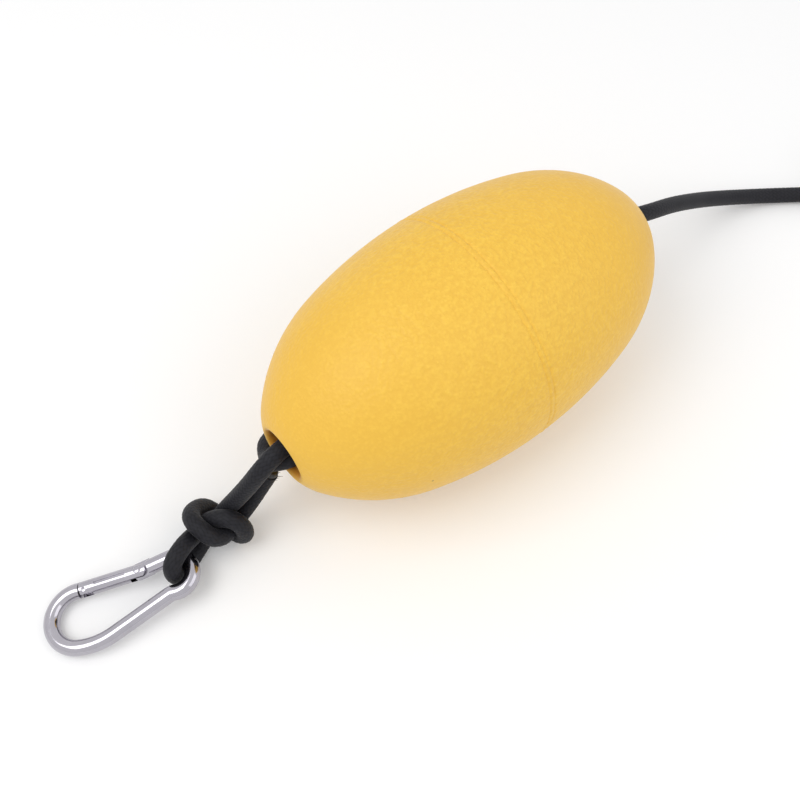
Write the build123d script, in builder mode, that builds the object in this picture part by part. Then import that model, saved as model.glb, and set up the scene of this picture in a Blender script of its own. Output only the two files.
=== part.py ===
from build123d import *
import math
import os

os.makedirs("parts", exist_ok=True)

# Anchor float: a moulded foam float on a braided line, with a spring snap hook noosed to the line.
# Frame: +X runs along the bore from the hook's end to the far end, +Z is up,
# and the origin is on the floor below the middle of the float. All sizes are in millimetres.

# Float: radii of the tangent arcs from the belly to the nose, and where each one stops turning
float_radius = 48.0
belly_arc = 172.0
belly_turn = 15.5
shoulder_arc = 70.0
shoulder_turn = 49.5
nose_arc = 27.0
lip_radius = 2.1
bore_radius = 9.5
seam_width = 2.2
seam_groove = 0.35

# Line
rope_diameter = 7.0
tip_diameter = 6.2
tip_length = 2.4
tip_rounding = 1.4

# Snap hook: the wire's middle line in the plane of the hook, x from the eye's end to the bow
wire_diameter = 6.0
eye_radius = 7.0
eye_centre = (7.6, -4.8)
eye_last_angle = 280.0
waist_radius = 4.0
spine_angle = 22.0
spine_offset = -1.65
bow_radius = 10.9
bow_centre = (44.6, 2.1)
bow_first_angle = -95.0
bow_last_angle = 80.0
hinge = (20.6, -9.6)
hook_heading = 155.0
eye_end_place = (-131.0, -0.3)
eye_end_height = 10.5
bow_height = 3.05

# Gate and its fittings
tongue_thickness = 2.4
tongue_radius = 3.0
slot_clearance = 0.3
turning_gap = 0.4
rivet_radius = 1.0
rivet_clearance = 0.05
latch_pin_radius = 0.7
latch_pin_clearance = 0.15
latch_depth = 4.6
tongue_root = 1.5
neck_height = 1.6
neck_length = 3.2
head_height = 3.3
head_length = 1.6
gate_groove_width = 1.2
gate_groove_depth = 0.45
gate_groove_length = 12.0

# Values that follow from the sizes
rope_radius = rope_diameter / 2
wire_radius = wire_diameter / 2
axis_height = float_radius


def labelled(part, name):
    part.label = name
    export_step(part, f"parts/{name}.step")
    print(f"{name}: volume {part.volume:.1f} mm3")


# Line: the corners of its route, chosen by hand
core_height = 43.5
core_start = -50.0
core_end = 55.0
near_route = {
    "line_standing": [
        (core_start, 0, core_height), (-57, 0, core_height), (-65, 1.3, 46.4), (-73, 2.2, 48.9), (-81, 1.8, 49.3),
        (-88, 1.3, 48.8), (-94.4, 1.3, 44.5), (-99.2, 3.7, 34.8), (-104, 7.6, 23), (-108, 11, 13.4),
        (-114, 11, 8.5), (-121, 10, 3.6),
    ],
    "line_bight": [(-128.6, 6.3, 3.6), (-137.2, 2.9, 3.6), (-137.2, 2.9, 17.4), (-129.2, 6.9, 17.2)],
    "line_arm": [
        (-122.5, 10.8, 10.9), (-116, 10.4, 15.6), (-112, 6.5, 19), (-108.5, 2.5, 19), (-107, 0, 13.5),
        (-107.5, 0, 7.5), (-109.5, 4.5, 3.5),
    ],
    "line_ring": [
        (-110, 13.5, 3.6), (-112, 19.5, 5), (-115, 19.5, 10.5), (-120, 16.5, 16.5), (-121.5, 11, 20),
        (-120.5, 6, 19.5), (-119, 3, 16.5),
    ],
    "line_tail": [
        (-115.5, 2.5, 13), (-111.5, 4, 11), (-105.5, 6.5, 11), (-98.5, 7, 16), (-92.5, 7, 23), (-89, 6.5, 28),
    ],
}
turn_route = {
    "line_turn": [
        (-71, -3.3, 43.2), (-75, -2.6, 42.8), (-79.5, -1, 42.6), (-85.4, 0.9, 41.9), (-89, 4.6, 39.6),
        (-87.1, 9.1, 33.6), (-84.7, 14.5, 31.8), (-81.3, 17.2, 29.2), (-77.6, 18.9, 26.6), (-74.2, 20.3, 23),
    ],
}
far_route = {
    "line_far": [
        (core_end, 0, core_height), (63, 0, core_height), (74, 0.4, 43), (85, 1.4, 43), (95, 2, 42.8),
        (102.5, 0.9, 40.6), (117.5, 1.5, 33.5), (132, 1.6, 25.4), (146, 1, 17.5), (160.5, -1.5, 10.5),
        (173.5, -5.5, 5.6), (185, -11.5, 3.5), (194.5, -18.5, 3.6), (206, -27, 3.5),
    ],
    "end_knot": [
        (214.5, -33.4, 3.6), (221.5, -37.3, 5.2), (226.6, -40.6, 11), (233.1, -44.3, 11), (242, -45.3, 6.5),
        (248.6, -38.8, 3.5), (247.8, -28.1, 3.5), (238.5, -20.4, 6), (226.7, -21.1, 10.9), (220, -28.6, 11.2),
        (214.5, -38.1, 11.2), (214.2, -46.9, 6.5), (221.6, -51.1, 3.5), (228.7, -45.6, 3.5), (233.5, -37.3, 4.5),
        (240.3, -32.3, 10.8), (252.2, -28.6, 10.8), (260.8, -26.5, 6), (269.7, -27.5, 3.6),
    ],
}


def corner_radii(points):
    """Radius of each corner: 0.45 of its shorter run over the tangent of half its turn."""
    radii = []
    for before, here, after in zip(points, points[1:], points[2:]):
        run_in = Vector(*here) - Vector(*before)
        run_out = Vector(*after) - Vector(*here)
        half_turn = math.radians(run_in.get_angle(run_out)) / 2
        radii.append(0.45 * min(run_in.length, run_out.length) / math.tan(half_turn))
    return radii


def middle_of(first, second):
    return (Vector(*first) + Vector(*second)) / 2


def rope_pieces(route):
    """Tubes of rope, one for each named stretch of the route, that meet in the middle of a run."""
    points = [point for stretch in route.values() for point in stretch]
    radii = [0] + corner_radii(points) + [0]
    runs = []
    first = 0
    for name, stretch in route.items():
        last = first + len(stretch) - 1
        corners = points[max(first, 1):min(last, len(points) - 2) + 1]
        bends = radii[max(first, 1):min(last, len(points) - 2) + 1]
        start = Vector(*points[0]) if first == 0 else middle_of(points[first - 1], points[first])
        end = Vector(*points[-1]) if last == len(points) - 1 else middle_of(points[last], points[last + 1])
        with BuildPart() as rope:
            with BuildLine():
                run = FilletPolyline(start, *corners, end, radius=bends)
            with BuildSketch(Plane(origin=run @ 0, z_dir=run % 0)):
                Circle(rope_radius)
            sweep()
        ratio = rope.part.volume / (math.pi * rope_radius**2 * run.length)
        print(f"{name}: length {run.length:.1f}, radii {[round(r, 1) for r in bends]}, volume ratio {ratio:.4f}")
        labelled(rope.part, name)
        runs.append(run)
        first = last + 1
    print(f"route length {sum(run.length for run in runs):.1f}")
    return runs


# Line from the bore's near side through the hook's eye, round itself and back to its cut end
near_runs = rope_pieces(near_route)

# Turn of line tucked out of the near mouth and back against the nose
rope_pieces(turn_route)

# Line from the bore's far side to the stopper knot at its end
far_runs = rope_pieces(far_route)

# Straight line inside the bore
with BuildPart() as line_core:
    with BuildSketch(Plane(origin=(core_start, 0, core_height), z_dir=(1, 0, 0))):
        Circle(rope_radius)
    extrude(amount=core_end - core_start)
labelled(line_core.part, "line_core")

# Heat-sealed tips of the two ends
for name, run in (("tip_near", near_runs[-1]), ("tip_far", far_runs[-1])):
    with BuildPart() as tip:
        with BuildSketch(Plane(origin=run @ 1, z_dir=run % 1)):
            Circle(tip_diameter / 2)
        extrude(amount=tip_length)
        fillet(tip.edges().sort_by(Axis((run @ 1), (run % 1)))[-1], radius=tip_rounding)
    labelled(tip.part, name)

# Float body: tangent arcs from the belly to the lip, turned about the bore
belly_centre = Vector(0, float_radius - belly_arc)
shoulder_centre = belly_centre + Vector(belly_arc - shoulder_arc, 0).rotate(Axis.Z, 90 - belly_turn)
nose_centre = shoulder_centre + Vector(shoulder_arc - nose_arc, 0).rotate(Axis.Z, 90 - shoulder_turn)
lip_height = bore_radius + lip_radius - nose_centre.Y
lip_centre = nose_centre + Vector(math.sqrt((nose_arc - lip_radius)**2 - lip_height**2), lip_height)
nose_turn = 90 - math.degrees(math.atan2(lip_height, lip_centre.X - nose_centre.X))
print(f"float: length {2 * (lip_centre.X + lip_radius):.1f}, nose arc ends at {nose_turn:.1f} degrees")

profile_plane = Plane(origin=(0, 0, axis_height), x_dir=(1, 0, 0), z_dir=(0, -1, 0))
bore_axis = Axis((0, 0, axis_height), (1, 0, 0))
with BuildPart() as float_body:
    with BuildSketch(profile_plane):
        with BuildLine():
            CenterArc((belly_centre.X, belly_centre.Y), belly_arc, 90, -belly_turn)
            CenterArc((shoulder_centre.X, shoulder_centre.Y), shoulder_arc, 90 - belly_turn, belly_turn - shoulder_turn)
            CenterArc((nose_centre.X, nose_centre.Y), nose_arc, 90 - shoulder_turn, shoulder_turn - nose_turn)
            CenterArc((lip_centre.X, lip_centre.Y), lip_radius, 90 - nose_turn, nose_turn - 180)
            Line((lip_centre.X, bore_radius), (0, bore_radius))
            Line((0, bore_radius), (0, float_radius))
        make_face()
        mirror(about=Plane.YZ)
        with Locations((-seam_width / 2, float_radius), (seam_width / 2, float_radius)):
            Circle(seam_groove, mode=Mode.SUBTRACT)
    revolve(axis=bore_axis)
labelled(float_body.part, "float_body")

# Plane of the hook: the rope under the eye lifts that end, and the bow rests on the floor
eye_end_x = eye_centre[0] - eye_radius
bow_end_x = bow_centre[0] + bow_radius
hook_tilt = math.degrees(math.asin((eye_end_height - bow_height) / (bow_end_x - eye_end_x)))
heading = math.radians(hook_heading)
slope = math.radians(hook_tilt)
hook_x = Vector(math.cos(heading) * math.cos(slope), math.sin(heading) * math.cos(slope), -math.sin(slope))
hook_y = Vector(-math.sin(heading), math.cos(heading), 0)
hook_z = hook_x.cross(hook_y)
eye_end = Vector(eye_end_place[0], eye_end_place[1], eye_end_height)
hook_origin = eye_end - hook_x * eye_end_x - hook_y * eye_centre[1]
hook_plane = Plane(origin=hook_origin, x_dir=hook_x, z_dir=hook_z)
print(f"hook: tilt {hook_tilt:.2f}, length {bow_end_x - eye_end_x + wire_diameter:.1f}")

# Waist: a small arc that is tangent to the straight spine and to the eye
spine_line = Vector(math.cos(math.radians(spine_angle)), math.sin(math.radians(spine_angle)))
spine_side = Vector(-spine_line.Y, spine_line.X)
eye_middle = Vector(*eye_centre)
waist_rise = spine_offset + waist_radius - spine_side.dot(eye_middle)
waist_run = math.sqrt((eye_radius + waist_radius)**2 - waist_rise**2)
waist_centre = eye_middle + spine_side * waist_rise + spine_line * waist_run
waist_start = waist_centre - spine_side * waist_radius
waist_end = eye_middle + (waist_centre - eye_middle) * (eye_radius / (eye_radius + waist_radius))
eye_first_angle = math.degrees(math.atan2(waist_end.Y - eye_middle.Y, waist_end.X - eye_middle.X))

# Shoulder of the bow: the wider arc between the bow and the spine
bow_turn = math.radians(bow_last_angle)
bow_exit = Vector(bow_centre[0] + bow_radius * math.cos(bow_turn), bow_centre[1] + bow_radius * math.sin(bow_turn))
bow_normal = Vector(math.cos(bow_turn), math.sin(bow_turn))
side_gap = spine_offset - spine_side.dot(bow_exit)
shoulder_radius = side_gap / (1 - spine_side.dot(bow_normal))
shoulder_middle = bow_exit - bow_normal * shoulder_radius
spine_start = shoulder_middle + spine_side * shoulder_radius
print(f"hook: shoulder radius {shoulder_radius:.1f}, eye from {eye_first_angle:.1f} degrees")

# Ends of the round wire: a shoulder behind the hinge, and the nose
eye_turn = math.radians(eye_last_angle)
eye_exit = eye_middle + Vector(math.cos(eye_turn), math.sin(eye_turn)) * eye_radius
hinge_middle = Vector(*hinge)
to_hinge = (hinge_middle - eye_exit).normalized()
wire_end = hinge_middle - to_hinge * (tongue_radius + turning_gap + 0.3)
nose_turned = math.radians(bow_first_angle)
nose_tip = Vector(*bow_centre) + Vector(math.cos(nose_turned), math.sin(nose_turned)) * bow_radius
gate_line = (nose_tip - hinge_middle).normalized()
gate_side = Vector(-gate_line.Y, gate_line.X)
gate_length = (nose_tip - hinge_middle).length - turning_gap
gate_angle = math.degrees(math.atan2(gate_line.Y, gate_line.X))


def on_gate(along, across):
    place = hinge_middle + gate_line * along + gate_side * across
    return (place.X, place.Y)


pin_along = gate_length - latch_depth + head_length + latch_pin_radius + 0.6
head_along = pin_along - latch_pin_radius - latch_pin_clearance - head_length / 2
neck_across = -0.8
pin_across = neck_across + neck_height / 2 + latch_pin_radius + latch_pin_clearance

with BuildPart() as hook_frame:
    with BuildLine(hook_plane):
        bow = CenterArc(bow_centre, bow_radius, bow_first_angle, bow_last_angle - bow_first_angle)
        shoulder = CenterArc(
            (shoulder_middle.X, shoulder_middle.Y), shoulder_radius, bow_last_angle, 90 + spine_angle - bow_last_angle
        )
        spine = Line((spine_start.X, spine_start.Y), (waist_start.X, waist_start.Y))
        waist = CenterArc(
            (waist_centre.X, waist_centre.Y), waist_radius, spine_angle - 90, eye_first_angle - 180 - (spine_angle - 90)
        )
        eye = CenterArc(eye_centre, eye_radius, eye_first_angle, eye_last_angle - eye_first_angle)
        back = Line((eye_exit.X, eye_exit.Y), (wire_end.X, wire_end.Y))
    with BuildSketch(Plane(origin=bow @ 0, z_dir=bow % 0)):
        Circle(wire_radius)
    sweep()
    with BuildSketch(hook_plane.offset(-tongue_thickness / 2)):
        with Locations(hinge):
            Circle(tongue_radius)
        middle = wire_end + (hinge_middle - wire_end) / 2 - to_hinge * tongue_root / 2
        turn = math.degrees(math.atan2(to_hinge.Y, to_hinge.X))
        with Locations(Location((middle.X, middle.Y, 0), (0, 0, turn))):
            Rectangle((hinge_middle - wire_end).length + tongue_root, 2 * tongue_radius)
        with Locations(hinge):
            Circle(rivet_radius + rivet_clearance, mode=Mode.SUBTRACT)
    extrude(amount=tongue_thickness)
    with BuildSketch(hook_plane.offset(-tongue_thickness / 2)):
        neck_start = pin_along - latch_pin_radius - latch_pin_clearance - head_length
        neck_end = gate_length + turning_gap + tongue_root
        neck_place = on_gate((neck_start + neck_end) / 2, neck_across)
        with Locations(Location((*neck_place, 0), (0, 0, gate_angle))):
            Rectangle(neck_end - neck_start, neck_height)
        head_place = on_gate(head_along, neck_across - neck_height / 2 + head_height / 2)
        with Locations(Location((*head_place, 0), (0, 0, gate_angle))):
            Rectangle(head_length, head_height)
    extrude(amount=tongue_thickness)
labelled(hook_frame.part, "hook_frame")

# Gate: a round bar with a fork at each end and a groove along its faces
slot_width = tongue_thickness + 2 * slot_clearance
gate_start = hook_plane.from_local_coords(Vector(*on_gate(-wire_radius, 0), 0))
gate_direction = hook_x * gate_line.X + hook_y * gate_line.Y
with BuildPart() as hook_gate:
    with BuildSketch(Plane(origin=gate_start, z_dir=gate_direction)):
        Circle(wire_radius)
    extrude(amount=gate_length + wire_radius)
    with BuildSketch(hook_plane.offset(-wire_radius)):
        with Locations(hinge):
            Circle(wire_radius)
        with Locations(Location((*on_gate(gate_length / 2, 0), 0), (0, 0, gate_angle))):
            Rectangle(gate_length, wire_diameter)
        with Locations(hinge):
            Circle(rivet_radius, mode=Mode.SUBTRACT)
        with Locations(on_gate(pin_along, pin_across)):
            Circle(latch_pin_radius, mode=Mode.SUBTRACT)
    extrude(amount=wire_diameter, mode=Mode.INTERSECT)
    with BuildSketch(hook_plane.offset(-slot_width / 2)):
        hinge_slot = tongue_radius + turning_gap
        with Locations(Location((*on_gate((hinge_slot - wire_radius) / 2, 0), 0), (0, 0, gate_angle))):
            Rectangle(hinge_slot + wire_radius, wire_diameter)
        with Locations(Location((*on_gate(gate_length - latch_depth / 2, 0), 0), (0, 0, gate_angle))):
            Rectangle(latch_depth, wire_diameter)
    extrude(amount=slot_width, mode=Mode.SUBTRACT)
    groove_middle = (hinge_slot + gate_length - latch_depth) / 2
    for face in (wire_radius - gate_groove_depth, -wire_radius):
        with BuildSketch(hook_plane.offset(face)):
            with Locations(Location((*on_gate(groove_middle, 0), 0), (0, 0, gate_angle))):
                Rectangle(gate_groove_length, gate_groove_width)
        extrude(amount=gate_groove_depth, mode=Mode.SUBTRACT)
labelled(hook_gate.part, "hook_gate")

# Rivet of the hinge and cross pin of the latch, both fixed in the gate's forks
with BuildPart() as gate_rivet:
    with BuildSketch(hook_plane.offset(-wire_radius)):
        with Locations(hinge):
            Circle(rivet_radius)
    extrude(amount=wire_diameter)
labelled(gate_rivet.part, "gate_rivet")

with BuildPart() as latch_pin:
    with BuildSketch(hook_plane.offset(-wire_radius + 0.45)):
        with Locations(on_gate(pin_along, pin_across)):
            Circle(latch_pin_radius)
    extrude(amount=wire_diameter - 0.9)
labelled(latch_pin.part, "latch_pin")
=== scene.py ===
# %% [markdown]
# # Anchor float
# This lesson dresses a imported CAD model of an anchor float: an egg-shaped foam float on a braided
# line, with a spring snap hook noosed to the line. The CAD model gives every size and place. Blender
# adds what a solid can't show: the float's pebbled skin, the braid of the line and the polish of the
# hook.

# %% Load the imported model
import math

import bmesh
import bpy
from mathutils import Matrix, Vector


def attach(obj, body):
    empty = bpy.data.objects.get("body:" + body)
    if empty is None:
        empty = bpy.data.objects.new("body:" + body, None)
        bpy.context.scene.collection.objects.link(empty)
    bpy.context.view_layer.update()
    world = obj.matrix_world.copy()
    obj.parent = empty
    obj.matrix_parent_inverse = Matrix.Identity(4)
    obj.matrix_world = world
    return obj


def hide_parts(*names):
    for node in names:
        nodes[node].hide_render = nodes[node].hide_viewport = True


MM = 0.001

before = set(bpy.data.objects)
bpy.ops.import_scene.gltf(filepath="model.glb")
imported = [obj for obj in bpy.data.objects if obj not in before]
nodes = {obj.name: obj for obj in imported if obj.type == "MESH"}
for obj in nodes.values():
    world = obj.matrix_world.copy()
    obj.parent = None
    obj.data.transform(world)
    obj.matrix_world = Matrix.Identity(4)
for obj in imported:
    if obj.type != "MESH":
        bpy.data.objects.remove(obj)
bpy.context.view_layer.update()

# %% [markdown]
# ## The camera
# The photograph looks down on the float from a steep angle, with the hook in the lower left corner.
# A camera is fixed by its place, its direction and its lens. It has no roll, so a quaternion that
# tracks the direction with Y up is enough, and nothing is shifted.

# %% Camera
camera_place = Vector((-0.1529, -0.1520, 0.3679))
view_direction = Vector((0.3100, 0.3895, -0.8673))
camera_lens = 45.39
sensor_width = 36.0
near_clip = 0.01

camera_data = bpy.data.cameras.new("camera")
camera_data.sensor_width = sensor_width
camera_data.lens = camera_lens
camera_data.clip_start = near_clip
camera_data.dof.use_dof = False
camera = bpy.data.objects.new("camera", camera_data)
camera.location = camera_place
camera.rotation_mode = "QUATERNION"
camera.rotation_quaternion = view_direction.to_track_quat("-Z", "Y")
bpy.context.collection.objects.link(camera)
bpy.context.scene.camera = camera
print("camera at", tuple(round(c, 3) for c in camera_place), "lens", camera_lens)

# %% [markdown]
# ## The routes of the line
# A line under no load lies in smooth curves. A NURBS spline of order 3 rounds every corner of a short
# list of control points, so the list stays readable: it is the same list of places, in millimetres,
# that the CAD tube follows. The order is set after the points are added: set before, it is cut to the
# number of points there are, and the line falls back to straight runs.

# %% Points of the line
near_route = [
    (-50, 0, 43.5), (-57, 0, 43.5), (-65, 1.3, 46.4), (-73, 2.2, 48.9), (-81, 1.8, 49.3),
    (-88, 1.3, 48.8), (-94.4, 1.3, 44.5), (-99.2, 3.7, 34.8), (-104, 7.6, 23), (-108, 11, 13.4),
    (-114, 11, 8.5), (-121, 10, 3.6), (-128.6, 6.3, 3.6), (-137.2, 2.9, 3.6),
    (-137.2, 2.9, 17.4), (-129.2, 6.9, 17.2), (-122.5, 10.8, 10.9), (-116, 10.4, 15.6),
    (-112, 6.5, 19), (-108.5, 2.5, 19), (-107, 0, 13.5),
    (-107.5, 0, 7.5), (-109.5, 4.5, 3.5),
    (-110, 13.5, 3.6), (-112, 19.5, 5), (-115, 19.5, 10.5), (-120, 16.5, 16.5), (-121.5, 11, 20),
    (-120.5, 6, 19.5), (-119, 3, 16.5),
    (-115.5, 2.5, 13), (-111.5, 4, 11), (-105.5, 6.5, 11), (-98.5, 7, 16), (-92.5, 7, 23),
    (-89, 6.5, 28),
]
turn_route = [
    (-71, -3.3, 43.2), (-75, -2.6, 42.8), (-79.5, -1, 42.6), (-85.4, 0.9, 41.9), (-89, 4.6, 39.6),
    (-87.1, 9.1, 33.6), (-84.7, 14.5, 31.8), (-81.3, 17.2, 29.2), (-77.6, 18.9, 26.6), (-74.2, 20.3, 23),
]
far_route = [
    (55, 0, 43.5), (63, 0, 43.5), (74, 0.4, 43), (85, 1.4, 43), (95, 2, 42.8), (102.5, 0.9, 40.6),
    (117.5, 1.5, 33.5), (132, 1.6, 25.4), (146, 1, 17.5), (160.5, -1.5, 10.5), (173.5, -5.5, 5.6),
    (185, -11.5, 3.5), (194.5, -18.5, 3.6), (206, -27, 3.5),
    (214.5, -33.4, 3.6), (221.5, -37.3, 5.2), (226.6, -40.6, 11), (233.1, -44.3, 11), (242, -45.3, 6.5),
    (248.6, -38.8, 3.5), (247.8, -28.1, 3.5), (238.5, -20.4, 6), (226.7, -21.1, 10.9),
    (220, -28.6, 11.2), (214.5, -38.1, 11.2), (214.2, -46.9, 6.5), (221.6, -51.1, 3.5),
    (228.7, -45.6, 3.5), (233.5, -37.3, 4.5),
    (240.3, -32.3, 10.8), (252.2, -28.6, 10.8), (260.8, -26.5, 6), (269.7, -27.5, 3.6),
]
rope_diameter = 7.0 * MM
guide_step = 0.5 * MM


# %% A smooth centre line and the points along it
def spline_points(route, name):
    """Points on the smooth line that the route's points control, in metres."""
    curve = bpy.data.curves.new(name, "CURVE")
    curve.dimensions = "3D"
    curve.resolution_u = 24
    spline = curve.splines.new("NURBS")
    spline.points.add(len(route) - 1)
    for point, place in zip(spline.points, route):
        point.co = (*(c * MM for c in place), 1)
    spline.order_u = 3
    spline.use_endpoint_u = True
    holder = bpy.data.objects.new(name, curve)
    bpy.context.collection.objects.link(holder)
    bpy.context.view_layer.update()
    line = bpy.data.meshes.new_from_object(holder)
    places = [v.co.copy() for v in line.vertices]
    bpy.data.objects.remove(holder)
    bpy.data.curves.remove(curve)
    bpy.data.meshes.remove(line)
    return places


def even_points(places, spacing):
    """The same line, divided into equal steps."""
    reach = [0.0]
    for a, b in zip(places, places[1:]):
        reach.append(reach[-1] + (b - a).length)
    steps = max(8, round(reach[-1] / spacing))
    result = []
    k = 0
    for i in range(steps + 1):
        target = reach[-1] * i / steps
        while k < len(places) - 2 and reach[k + 1] < target:
            k += 1
        share = (target - reach[k]) / max(reach[k + 1] - reach[k], 1e-12)
        result.append(places[k].lerp(places[k + 1], min(max(share, 0.0), 1.0)))
    return result, reach[-1]


near_line, near_length = even_points(spline_points(near_route, "near_guide"), guide_step)
turn_line, turn_length = even_points(spline_points(turn_route, "turn_guide"), guide_step)
far_line, far_length = even_points(spline_points(far_route, "far_guide"), guide_step)
print("line lengths", round(near_length, 4), round(turn_length, 4), round(far_length, 4))

# %% [markdown]
# ## Small helpers for materials
# Each material is built from nodes. A few short functions keep the cells readable. They add a node
# with its values set, do a sum, mix two colours, start a node group with named sockets, pick out the
# rays that see the background, and start a material with its own Principled shader.


# %% Node helpers
def add_node(tree, kind, **values):
    """A new node. Values name its sockets or, for other settings, its attributes."""
    node = tree.nodes.new(kind)
    for name, value in values.items():
        socket = name.replace("_", " ")
        if socket in node.inputs and not hasattr(node, name):
            node.inputs[socket].default_value = value
        else:
            setattr(node, name, value)
    return node


def math_node(tree, operation, first, second=None, third=None):
    """The output of a Math node whose inputs are sockets or numbers."""
    node = tree.nodes.new("ShaderNodeMath")
    node.operation = operation
    for socket, value in zip(node.inputs, (first, second, third)):
        if value is None:
            continue
        if isinstance(value, (int, float)):
            socket.default_value = value
        else:
            tree.links.new(value, socket)
    return node.outputs[0]


def mix_colour(tree, factor, first, second):
    """The colour output of a Mix node."""
    node = tree.nodes.new("ShaderNodeMix")
    node.data_type = "RGBA"
    for socket, value in ((node.inputs[0], factor), (node.inputs[6], first), (node.inputs[7], second)):
        if isinstance(value, (int, float)):
            socket.default_value = value
        elif isinstance(value, tuple):
            socket.default_value = (*value, 1.0)
        else:
            tree.links.new(value, socket)
    return node.outputs[2]


def new_group(name, inputs, outputs):
    """An empty node group with float inputs (name: value) and typed outputs, and its two end nodes."""
    group = bpy.data.node_groups.new(name, "ShaderNodeTree")
    for label, value in inputs.items():
        socket = group.interface.new_socket(label, in_out="INPUT", socket_type="NodeSocketFloat")
        socket.default_value = value
    for label, kind in outputs.items():
        group.interface.new_socket(label, in_out="OUTPUT", socket_type=kind)
    return group, group.nodes.new("NodeGroupInput"), group.nodes.new("NodeGroupOutput")


def seeing_rays(tree):
    """1 for the rays that show the background: from the camera, a reflection or through glass."""
    path = add_node(tree, "ShaderNodeLightPath")
    seen = math_node(tree, "MAXIMUM", path.outputs["Is Camera Ray"], path.outputs["Is Glossy Ray"])
    return math_node(tree, "MAXIMUM", seen, path.outputs["Is Transmission Ray"])


def new_material(name, **settings):
    """A material with its own Principled shader."""
    material = bpy.data.materials.new(name)
    material.use_nodes = True
    shader = material.node_tree.nodes["Principled BSDF"]
    for label, value in settings.items():
        shader.inputs[label.replace("_", " ")].default_value = value
    return material, material.node_tree, shader


# %% [markdown]
# ## Shared effects
# Foam, rope, melted tip and metal all vary a little over their surface. The first group puts out a
# soft mask of broad patches, from which each material mixes its own colours. The second puts out a
# mask of sparse small specks, where the foam gets painted shade for small dents in its skin.

# %% Broad patches
patches, patches_in, patches_out = new_group(
    "broad_patches", {"Size": 0.03}, {"Mask": "NodeSocketFloat"}
)
coords = add_node(patches, "ShaderNodeTexCoord")
noise = add_node(patches, "ShaderNodeTexNoise", Detail=3.0, Roughness=0.55)
scale = math_node(patches, "DIVIDE", 1.0, patches_in.outputs["Size"])
patches.links.new(coords.outputs["Object"], noise.inputs["Vector"])
patches.links.new(scale, noise.inputs["Scale"])
patches.links.new(noise.outputs["Fac"], patches_out.inputs["Mask"])
print("group", patches.name)

# %% Sparse specks
speck_edge = 60.0

specks, specks_in, specks_out = new_group(
    "sparse_specks", {"Spacing": 0.012, "Radius": 0.05, "Share": 0.3}, {"Mask": "NodeSocketFloat"}
)
coords = add_node(specks, "ShaderNodeTexCoord")
cells = add_node(specks, "ShaderNodeTexVoronoi")
scale = math_node(specks, "DIVIDE", 1.0, specks_in.outputs["Spacing"])
specks.links.new(coords.outputs["Object"], cells.inputs["Vector"])
specks.links.new(scale, cells.inputs["Scale"])
split = add_node(specks, "ShaderNodeSeparateColor")
specks.links.new(cells.outputs["Color"], split.inputs["Color"])
chosen = math_node(specks, "LESS_THAN", split.outputs[0], specks_in.outputs["Share"])
size = math_node(specks, "MULTIPLY", specks_in.outputs["Radius"], split.outputs[1])
inside = math_node(specks, "SUBTRACT", size, cells.outputs["Distance"])
clamp = add_node(specks, "ShaderNodeClamp")
specks.links.new(math_node(specks, "MULTIPLY", inside, speck_edge), clamp.inputs["Value"])
specks.links.new(math_node(specks, "MULTIPLY", clamp.outputs[0], chosen), specks_out.inputs["Mask"])
print("group", specks.name)

# %% [markdown]
# ## The float
# The real float is moulded from closed-cell foam in a two-part mould. The mould leaves a fine pebbled
# skin, and a thin line where its halves met. A stretched ball would miss its shoulders and the
# rounded lips of its mouths. The shape is a solid of revolution, so its profile is drawn once, from
# the same tangent arcs as the CAD model, and spun about the bore. Where the line of the mould runs,
# the profile gets finer steps.

# %% Profile of the float
float_radius = 48.0 * MM
bore_radius = 9.5 * MM
lip_radius = 2.1 * MM
belly_arc = 172.0 * MM
shoulder_arc = 70.0 * MM
nose_arc = 27.0 * MM
belly_turn = math.radians(15.5)
shoulder_turn = math.radians(49.5)


def on_arc(centre, radius, turn):
    """A point of an arc, turned from straight out (0) towards the end of the float (90 degrees)."""
    return Vector((centre.x + radius * math.sin(turn), centre.y + radius * math.cos(turn)))


belly_centre = Vector((0, float_radius - belly_arc))
shoulder_centre = on_arc(belly_centre, belly_arc - shoulder_arc, belly_turn)
nose_centre = on_arc(shoulder_centre, shoulder_arc - nose_arc, shoulder_turn)
lip_rise = bore_radius + lip_radius - nose_centre.y
lip_centre = nose_centre + Vector((math.sqrt((nose_arc - lip_radius)**2 - lip_rise**2), lip_rise))
nose_turn = math.atan2(lip_centre.x - nose_centre.x, lip_rise)

# Centre, radius, first turn, last turn and steps of each arc
float_arcs = [
    (belly_centre, belly_arc, 0.0, belly_turn, 34),
    (shoulder_centre, shoulder_arc, belly_turn, shoulder_turn, 34),
    (nose_centre, nose_arc, shoulder_turn, nose_turn, 12),
    (lip_centre, lip_radius, nose_turn, math.pi, 12),
]
half_profile = []
for centre, radius, first, last, steps in float_arcs:
    turns = [first + (last - first) * i / steps for i in range(1, steps + 1)]
    half_profile += [on_arc(centre, radius, turn) for turn in turns]
bore_steps = 16
mouth_end = half_profile[-1].x
half_profile += [Vector((mouth_end * (1 - i / bore_steps), bore_radius)) for i in range(1, bore_steps)]
print("profile points", len(half_profile), "mouth at", round(max(p.x for p in half_profile), 5))

# %% Seam of the mould
bore_zone = 2 * bore_radius
seam_groove = 0.35 * MM
seam_half_width = 1.1 * MM
seam_groove_width = 0.45 * MM
seam_bead = 0.1 * MM
seam_bead_width = 0.6 * MM
seam_reach = 3.2 * MM
seam_steps = [0.25, 0.5, 0.75, 1.0, 1.25, 1.5, 1.8, 2.2, 2.7]
spin_steps = 256
merge_distance = 1e-6


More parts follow.
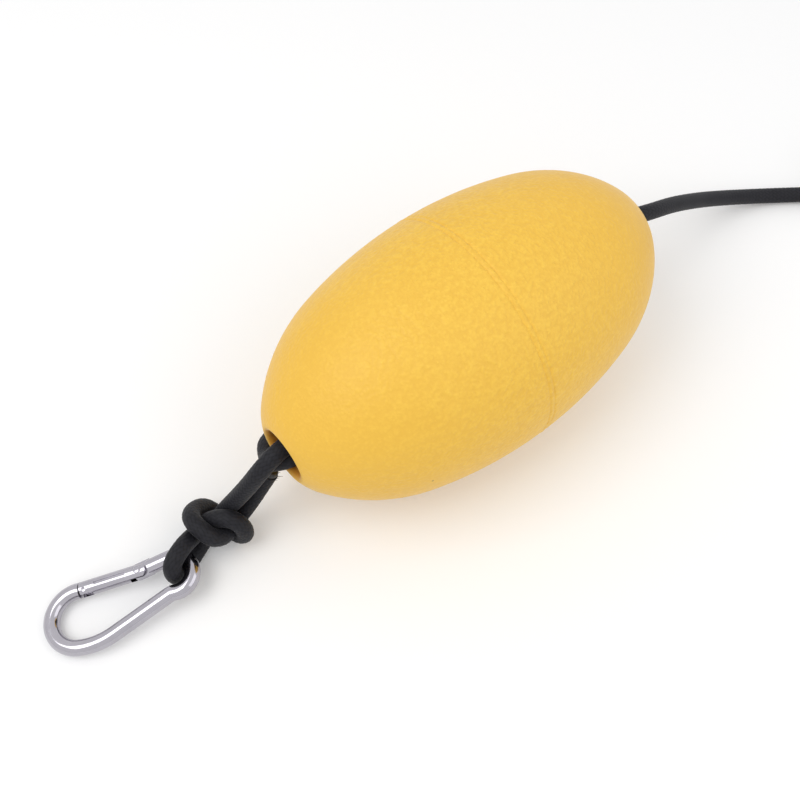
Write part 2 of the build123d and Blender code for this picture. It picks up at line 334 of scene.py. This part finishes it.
def seam_depth(place):
    """The line left by the mould: two shallow grooves with a low bead between them."""
    if place.y <= bore_zone:
        return 0
    beside = (abs(place.x) - seam_half_width) / seam_groove_width
    middle = (place.x / seam_bead_width)**2
    return -seam_groove * math.exp(-beside * beside) + seam_bead * math.exp(-middle)


def on_belly(x):
    """The point of the belly at a distance from the middle of the float."""
    return Vector((x, on_arc(belly_centre, belly_arc, math.asin(x / belly_arc)).y))


near_seam = [on_belly(x * MM) for x in seam_steps]
half_profile = near_seam + [p for p in half_profile if p.x > seam_reach or p.y < bore_zone]
outline = [Vector((0, float_radius))] + half_profile
outline += [Vector((0, bore_radius))] + [Vector((-p.x, p.y)) for p in reversed(half_profile)]

float_mesh = bmesh.new()
rim = [float_mesh.verts.new((p.x, 0, float_radius + p.y + seam_depth(p))) for p in outline]
edges = [float_mesh.edges.new((a, b)) for a, b in zip(rim, rim[1:] + rim[:1])]
bmesh.ops.spin(
    float_mesh, geom=rim + edges, cent=(0, 0, float_radius), axis=(1, 0, 0), angle=2 * math.pi,
    steps=spin_steps, use_merge=True,
)
bmesh.ops.remove_doubles(float_mesh, verts=float_mesh.verts, dist=merge_distance)
bmesh.ops.recalc_face_normals(float_mesh, faces=float_mesh.faces)


# %% From bmesh to object
def finish_piece(mesh, name, material, smooth=True):
    """Turn a bmesh into an object at the origin with one material."""
    data = bpy.data.meshes.new(name)
    mesh.to_mesh(data)
    mesh.free()
    data.materials.append(material)
    if smooth:
        data.shade_smooth()
    piece = bpy.data.objects.new(name, data)
    bpy.context.collection.objects.link(piece)
    print(name, "faces", len(data.polygons))
    return piece


# %% [markdown]
# ### Foam
# Foam skin is matt with a soft sheen that makes it paler where it is seen edge on. Its pebbles are
# about a millimetre across, too small to model, so they are a bump from a cellular pattern. They
# are strongest round the middle and fade towards the ends. The dips between them are painted a deeper
# orange, a painted shade, and sparse dark specks are painted shade for small dents in the skin. The
# wall of the bore is a deeper orange too, where the colour follows the distance from the axis: partly
# the wall's own colour, partly painted shade inside the bore.

# %% Foam material
foam_orange = (0.89, 0.54, 0.055)
foam_pale = (0.94, 0.60, 0.085)
# Painted shade for the dips between the pebbles
foam_dip_shade = (0.62, 0.27, 0.02)
# Painted shade for small dents in the skin
foam_pit_shade = (0.30, 0.16, 0.05)
# The bore wall: its own deeper colour, and painted shade inside the bore
foam_bore_tone_and_shade = (0.66, 0.27, 0.03)

foam, tree, shader = new_material(
    "orange_foam", Roughness=0.48, Specular_IOR_Level=0.4, Sheen_Weight=0.10, Sheen_Roughness=0.4
)
coords = add_node(tree, "ShaderNodeTexCoord")
pebbles = add_node(tree, "ShaderNodeTexVoronoi", feature="SMOOTH_F1", Scale=820.0, Smoothness=0.6)
ripples = add_node(tree, "ShaderNodeTexNoise", Scale=420.0, Detail=4.0, Roughness=0.6)
swell = add_node(tree, "ShaderNodeTexNoise", Scale=38.0, Detail=2.0)
for texture in (pebbles, ripples, swell):
    tree.links.new(coords.outputs["Object"], texture.inputs["Vector"])
place = add_node(tree, "ShaderNodeSeparateXYZ")
tree.links.new(coords.outputs["Object"], place.inputs[0])
along = math_node(tree, "ABSOLUTE", place.outputs["X"])
middle = add_node(tree, "ShaderNodeMapRange", From_Min=0.085, From_Max=0.01, To_Min=0.45, To_Max=1.0)
tree.links.new(along, middle.inputs["Value"])
height = math_node(tree, "MULTIPLY", pebbles.outputs["Distance"], -0.5)
height = math_node(tree, "ADD", height, ripples.outputs["Fac"])
height = math_node(tree, "MULTIPLY", height, middle.outputs[0])
fine_bump = add_node(tree, "ShaderNodeBump", Strength=0.9, Distance=0.0005)
tree.links.new(height, fine_bump.inputs["Height"])
broad_bump = add_node(tree, "ShaderNodeBump", Strength=0.35, Distance=0.0012)
tree.links.new(swell.outputs["Fac"], broad_bump.inputs["Height"])
tree.links.new(fine_bump.outputs[0], broad_bump.inputs["Normal"])
tree.links.new(broad_bump.outputs[0], shader.inputs["Normal"])
patch = add_node(tree, "ShaderNodeGroup", node_tree=patches, Size=0.05)
pit_shade_mask = add_node(tree, "ShaderNodeGroup", node_tree=specks, Spacing=0.017, Radius=0.06, Share=0.35)
colour = mix_colour(tree, patch.outputs["Mask"], foam_orange, foam_pale)
# Painted shade: the dips between the pebbles are darkened towards a deeper orange.
dip_shade_mask = add_node(tree, "ShaderNodeMapRange", From_Min=0.12, From_Max=0.5, To_Min=0.24, To_Max=0.0)
tree.links.new(height, dip_shade_mask.inputs["Value"])
colour = mix_colour(tree, dip_shade_mask.outputs[0], colour, foam_dip_shade)
# Painted shade: sparse dark specks stand for the shade in small dents of the skin.
colour = mix_colour(tree, pit_shade_mask.outputs["Mask"], colour, foam_pit_shade)
# The bore wall is painted a deeper orange by distance from the axis: partly its own colour, partly
# painted shade inside the bore.
across = math_node(tree, "SUBTRACT", place.outputs["Z"], float_radius)
across = math_node(tree, "MULTIPLY", across, across)
across = math_node(tree, "MULTIPLY_ADD", place.outputs["Y"], place.outputs["Y"], across)
distance = math_node(tree, "SQRT", across)
bore_edge = bore_radius + lip_radius
bore_tone_and_shade_mask = add_node(
    tree, "ShaderNodeMapRange", From_Min=bore_radius, From_Max=bore_edge, To_Min=1.0, To_Max=0.0
)
tree.links.new(distance, bore_tone_and_shade_mask.inputs["Value"])
colour = mix_colour(tree, bore_tone_and_shade_mask.outputs[0], colour, foam_bore_tone_and_shade)
tree.links.new(colour, shader.inputs["Base Color"])

foam_float = finish_piece(float_mesh, "foam_float", foam)
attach(foam_float, "float")
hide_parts("float_body")

# %% [markdown]
# ## The braided line
# A braided line is a tube of strands: half of them wind one way and half the other way, and
# each goes over two and under two. A bump on a plain tube would leave its outline smooth. So a grid
# is wrapped round the centre line here, and each of its points is lifted by the height of the
# strand that lies on top there, and the braid is real geometry. The height is kept as an
# attribute, from which the material paints shade into the gaps.

# %% Height of the braid
strands_each_way = 14
braid_pitch = 2.0 * MM
braid_depth = 0.42 * MM
round_share = 0.55
weave_share = 0.45
weave_steepness = 1.4


def strand_height(across, along, index):
    """Height of one strand: round across its width, and over two and under two along its length."""
    round_top = math.sqrt(max(0.0, 1 - (2 * across)**2))
    over = math.cos(math.pi / 2 * (along - index))
    return round_share * round_top + weave_share * max(-1.0, min(1.0, weave_steepness * over))


def braid_height(around, along):
    """The higher of the two strands that cross at this place, from -1 to 1."""
    right = around * strands_each_way + along / braid_pitch
    left = around * strands_each_way - along / braid_pitch
    one = strand_height(right % 1 - 0.5, left, math.floor(right))
    other = strand_height(left % 1 - 0.5, right + 1, math.floor(left))
    return max(one, other)


# %% A grid wrapped round a line
sides_around = 96


def carried_frames(line):
    """Two directions square to the line at each point, carried along without twisting."""
    tangents = []
    for i in range(len(line)):
        ahead, behind = line[min(i + 1, len(line) - 1)], line[max(i - 1, 0)]
        tangents.append((ahead - behind).normalized())
    side = tangents[0].orthogonal().normalized()
    sides = []
    for tangent in tangents:
        side = (side - tangent * side.dot(tangent)).normalized()
        sides.append((side.copy(), tangent.cross(side)))
    return sides


def rope_mesh(line, step):
    """A braided tube round a line of evenly spaced points, with closed ends."""
    sides = carried_frames(line)
    rows = len(line)
    mesh = bmesh.new()
    mesh.loops.layers.uv.new("UVMap")
    relief = mesh.verts.layers.float.new("relief")
    bmesh.ops.create_grid(mesh, x_segments=sides_around, y_segments=rows - 1, size=0.5, calc_uvs=True)
    body = rope_diameter / 2 - braid_depth / 2
    for vert in mesh.verts:
        turn = vert.co.x + 0.5
        row = min(rows - 1, round((vert.co.y + 0.5) * (rows - 1)))
        vert[relief] = braid_height(turn, row * step)
        radius = body + braid_depth / 2 * vert[relief]
        side, up = sides[row]
        angle = 2 * math.pi * turn
        vert.co = line[row] + (side * math.cos(angle) + up * math.sin(angle)) * radius
    bmesh.ops.remove_doubles(mesh, verts=mesh.verts, dist=merge_distance)
    bmesh.ops.holes_fill(mesh, edges=[e for e in mesh.edges if e.is_boundary], sides=0)
    bmesh.ops.recalc_face_normals(mesh, faces=mesh.faces)
    return mesh


# %% [markdown]
# ### Fibres
# The line is black, and each strand is made of fine filaments. The gaps between the strands are
# painted darker, as painted shade, so the tops of the strands are a little paler, and a faint sheen
# gives the bloom of fibre.

# %% Fibre material
fibre_dark = (0.008, 0.008, 0.0105)
fibre_pale = (0.020, 0.020, 0.026)
# Painted shade for the gaps between the strands
fibre_gap_shade = (0.001, 0.001, 0.0015)

fibre, tree, shader = new_material(
    "black_fibre", Roughness=0.6, Specular_IOR_Level=0.22, Sheen_Weight=0.05, Sheen_Roughness=0.4
)
patch = add_node(tree, "ShaderNodeGroup", node_tree=patches, Size=0.006)
colour = mix_colour(tree, patch.outputs["Mask"], fibre_dark, fibre_pale)
relief = add_node(tree, "ShaderNodeAttribute", attribute_name="relief")
# Painted shade: the gaps between strands, where the braid is low, are darkened.
gap_shade_mask = add_node(tree, "ShaderNodeMapRange", From_Min=0.1, From_Max=0.9, To_Min=1.0, To_Max=0.0)
tree.links.new(relief.outputs["Fac"], gap_shade_mask.inputs["Value"])
colour = mix_colour(tree, gap_shade_mask.outputs[0], colour, fibre_gap_shade)
tree.links.new(colour, shader.inputs["Base Color"])
coords = add_node(tree, "ShaderNodeTexCoord")
fuzz = add_node(tree, "ShaderNodeTexNoise", Scale=2600.0, Detail=2.0)
tree.links.new(coords.outputs["Object"], fuzz.inputs["Vector"])
bump = add_node(tree, "ShaderNodeBump", Strength=0.5, Distance=0.0001)
tree.links.new(fuzz.outputs["Fac"], bump.inputs["Height"])
tree.links.new(bump.outputs[0], shader.inputs["Normal"])

# %% The three free lengths and the length in the bore
rope_step = 0.4 * MM
core_line = [Vector(route[0]) * MM for route in (near_route, far_route)]


def rope_piece(line, name, *replaced):
    """A braided piece that rides with the line and stands for its CAD tubes."""
    points, length = even_points(line, rope_step)
    piece = finish_piece(rope_mesh(points, length / (len(points) - 1)), name, fibre)
    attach(piece, "line_and_hook")
    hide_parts(*replaced)
    return piece


near_rope = rope_piece(
    near_line, "near_rope", "line_standing", "line_bight", "line_arm", "line_ring", "line_tail"
)
turn_rope = rope_piece(turn_line, "turn_rope", "line_turn")
far_rope = rope_piece(far_line, "far_rope", "line_far", "end_knot")
core_rope = rope_piece(core_line, "core_rope", "line_core")

# %% [markdown]
# ### Cut ends
# The ends of such a line are cut with a hot knife, which melts the fibres into a hard dark tip. The
# end of the turn gets a cap of the same stuff: a flattened ball. The tail's tip has lost a few
# fibres, which stand out as thin cones round its edge.

# %% Melted tips
tip_dark = (0.008, 0.008, 0.009)
tip_pale = (0.035, 0.032, 0.030)

melted, tree, shader = new_material("melted_tip", Roughness=0.32, Specular_IOR_Level=0.5)
patch = add_node(tree, "ShaderNodeGroup", node_tree=patches, Size=0.002)
colour = mix_colour(tree, patch.outputs["Mask"], tip_dark, tip_pale)
tree.links.new(colour, shader.inputs["Base Color"])
bump = add_node(tree, "ShaderNodeBump", Strength=0.6, Distance=0.0003)
tree.links.new(patch.outputs["Mask"], bump.inputs["Height"])
tree.links.new(bump.outputs[0], shader.inputs["Normal"])

# %% Cap of the turn
turn_cap_height = 1.0 * MM
turn_cap_radius = 0.47 * rope_diameter
turn_cap_sink = 0.2 * MM


def facing(way):
    """The turn that brings Z to a direction."""
    return way.to_track_quat("Z", "Y").to_matrix().to_4x4()


cap = bmesh.new()
way = (turn_line[-1] - turn_line[-2]).normalized()
place = Matrix.Translation(turn_line[-1] - way * turn_cap_sink) @ facing(way)
flat = Matrix.Diagonal((turn_cap_radius, turn_cap_radius, turn_cap_height, 1.0))
bmesh.ops.create_uvsphere(cap, u_segments=48, v_segments=24, radius=1.0, matrix=place @ flat)
turn_cap = finish_piece(cap, "turn_cap", melted)
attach(turn_cap, "line_and_hook")

# %% Loose fibres at the tail
fibre_count = 14
fibre_root = 0.13 * MM
fibre_point = 0.05 * MM
fibre_sink = 0.3 * MM
fibre_ring = 0.44 * rope_diameter
fibre_shortest = 1.6 * MM
fibre_extra = 1.1 * MM
fibre_lean = math.radians(35)
fibre_lean_step = math.radians(8)

fray = bmesh.new()
way = (near_line[-1] - near_line[-3]).normalized()
for i in range(fibre_count):
    long = fibre_shortest + fibre_extra * ((i * 7) % 5) / 4
    around = Matrix.Rotation(2 * math.pi * i / fibre_count, 4, "Z")
    lean = Matrix.Rotation(fibre_lean + fibre_lean_step * ((i * 3) % 4), 4, "Y")
    root = Matrix.Translation((fibre_ring, 0, -fibre_sink))
    place = Matrix.Translation(near_line[-1]) @ facing(way) @ around @ root @ lean
    bmesh.ops.create_cone(
        fray, cap_ends=True, segments=8, radius1=fibre_root, radius2=fibre_point, depth=long,
        matrix=place @ Matrix.Translation((0, 0, long / 2)),
    )
tail_fray = finish_piece(fray, "tail_fray", fibre)
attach(tail_fray, "line_and_hook")

# %% [markdown]
# ## The snap hook
# The hook is bent from round steel wire and tumbled until it is bright. It could be swept again from
# curves, but its CAD solids already have the right shape. They stay, and only get a finish: a
# metal with faint scratches that vary its gloss.

# %% Polished steel
steel_dark = (0.36, 0.345, 0.385)
steel_pale = (0.50, 0.485, 0.525)

steel, tree, shader = new_material("polished_steel", Metallic=1.0, Roughness=0.12)
coords = add_node(tree, "ShaderNodeTexCoord")
scratches = add_node(tree, "ShaderNodeTexNoise", Scale=900.0, Detail=3.0)
stretch = add_node(tree, "ShaderNodeMapping", Scale=(0.12, 1.0, 1.0))
tree.links.new(coords.outputs["Object"], stretch.inputs["Vector"])
tree.links.new(stretch.outputs[0], scratches.inputs["Vector"])
gloss = add_node(tree, "ShaderNodeMapRange", From_Min=0.3, From_Max=0.7, To_Min=0.08, To_Max=0.2)
tree.links.new(scratches.outputs["Fac"], gloss.inputs["Value"])
tree.links.new(gloss.outputs[0], shader.inputs["Roughness"])
patch = add_node(tree, "ShaderNodeGroup", node_tree=patches, Size=0.01)
colour = mix_colour(tree, patch.outputs["Mask"], steel_dark, steel_pale)
tree.links.new(colour, shader.inputs["Base Color"])
bump = add_node(tree, "ShaderNodeBump", Strength=0.04, Distance=0.0001)
tree.links.new(scratches.outputs["Fac"], bump.inputs["Height"])
tree.links.new(bump.outputs[0], shader.inputs["Normal"])

# %% Finishes for the CAD pieces
finishes = {
    "hook_frame": steel, "hook_gate": steel, "gate_rivet": steel, "latch_pin": steel,
    "tip_near": melted, "tip_far": melted,
}
for name, material in finishes.items():
    data = nodes[name].data
    data.materials.clear()
    data.materials.append(material)
    print("finish", name, material.name, "smooth", data.polygons[0].use_smooth)

# %% [markdown]
# ### Heads of the pins
# The rivet of the hinge and the pin of the latch are set with a press, which spreads each end into a
# low round head on the cheek of the gate. Each head is a flattened ball on the end of its pin, and
# its place comes from the mesh of the pin, so it stays right when the hook's size changes.

# %% Pin heads
# Pin, radius and height of its heads
pin_table = [
    ("gate_rivet", 1.45 * MM, 0.35 * MM),
    ("latch_pin", 1.25 * MM, 0.3 * MM),
]
heads = bmesh.new()
for name, head_radius, head_height in pin_table:
    pin = nodes[name]
    spots = [pin.matrix_world @ v.co for v in pin.data.vertices]
    pin_middle = sum(spots, Vector()) / len(spots)
    arms = [spot - pin_middle for spot in spots]
    longest = max(arms, key=lambda arm: arm.length)
    axis = sum((arm for arm in arms if arm.dot(longest) > 0), Vector()).normalized()
    reach = max(arm.dot(axis) for arm in arms)
    for way in (-1, 1):
        place = Matrix.Translation(pin_middle + axis * way * reach) @ facing(axis)
        flat = Matrix.Diagonal((head_radius, head_radius, head_height, 1.0))
        bmesh.ops.create_uvsphere(heads, u_segments=32, v_segments=16, radius=1.0, matrix=place @ flat)
    print(name, "reach", round(reach, 5))
pin_heads = finish_piece(heads, "pin_heads", steel)
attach(pin_heads, "gate")

# %% [markdown]

# %% [markdown]
# ## The studio
# The float is shown on a white ground in broad soft light from above. The world is white to the camera
# and to reflections, and gives a plain soft light otherwise. The floor is lifted a little where it
# is seen, and keeps the soft shadow. The lamps are plain area lights, the stronger one on the side
# of the hook.

# %% Floor
floor_half_size = 3.0
floor_drop = 0.2 * MM
floor_lift = 0.10
floor_mesh = bmesh.new()
bmesh.ops.create_grid(floor_mesh, x_segments=1, y_segments=1, size=floor_half_size)
floor_paint, tree, shader = new_material("floor_paint", Roughness=0.9, Specular_IOR_Level=0.1)
shader.inputs["Base Color"].default_value = (0.90, 0.90, 0.90, 1.0)
shader.inputs["Emission Color"].default_value = (1.0, 1.0, 1.0, 1.0)
lift = math_node(tree, "MULTIPLY", seeing_rays(tree), floor_lift)
tree.links.new(lift, shader.inputs["Emission Strength"])
floor = finish_piece(floor_mesh, "floor", floor_paint, smooth=False)
for vert in floor.data.vertices:
    vert.co.z = -floor_drop

# %% World
wall_low = (0.54, 0.54, 0.56, 1)
wall_high = (0.77, 0.77, 0.77, 1)
white = (1.0, 1.0, 1.0)

world = bpy.data.worlds.new("studio")
bpy.context.scene.world = world
world.use_nodes = True
tree = world.node_tree
background = tree.nodes["Background"]
coords = add_node(tree, "ShaderNodeTexCoord")
direction = add_node(tree, "ShaderNodeSeparateXYZ")
tree.links.new(coords.outputs["Generated"], direction.inputs[0])
walls = add_node(tree, "ShaderNodeValToRGB")
walls.color_ramp.elements[0].position = 0.50
walls.color_ramp.elements[0].color = wall_low
walls.color_ramp.elements[1].position = 0.80
walls.color_ramp.elements[1].color = wall_high
height = math_node(tree, "MULTIPLY_ADD", direction.outputs["Z"], 0.5, 0.5)
tree.links.new(height, walls.inputs["Fac"])
colour = mix_colour(tree, seeing_rays(tree), walls.outputs["Color"], white)
tree.links.new(colour, background.inputs["Color"])
background.inputs["Strength"].default_value = 1.0
print("world", world.name)

# %% Lamps
lamp_target = Vector((0, 0, 0.05))
# Name, place, size in metres and power in watts
lamp_table = [
    ("key", (-0.45, 0.10, 0.75), 0.5, 2.25),
    ("fill", (0.35, -0.6, 0.6), 0.7, 1.3),
]
for name, lamp_place, lamp_size, power in lamp_table:
    data = bpy.data.lights.new(name, "AREA")
    data.size = lamp_size
    data.energy = power
    lamp = bpy.data.objects.new(name, data)
    lamp.location = lamp_place
    aim = (lamp_target - Vector(lamp_place)).normalized()
    lamp.rotation_mode = "QUATERNION"
    lamp.rotation_quaternion = aim.to_track_quat("-Z", "Y")
    bpy.context.collection.objects.link(lamp)
    print("lamp", name, power, "W")

# %% Colours as they are mixed
view_transform = "Standard"
bpy.context.scene.view_settings.view_transform = view_transform
print("view transform", view_transform)
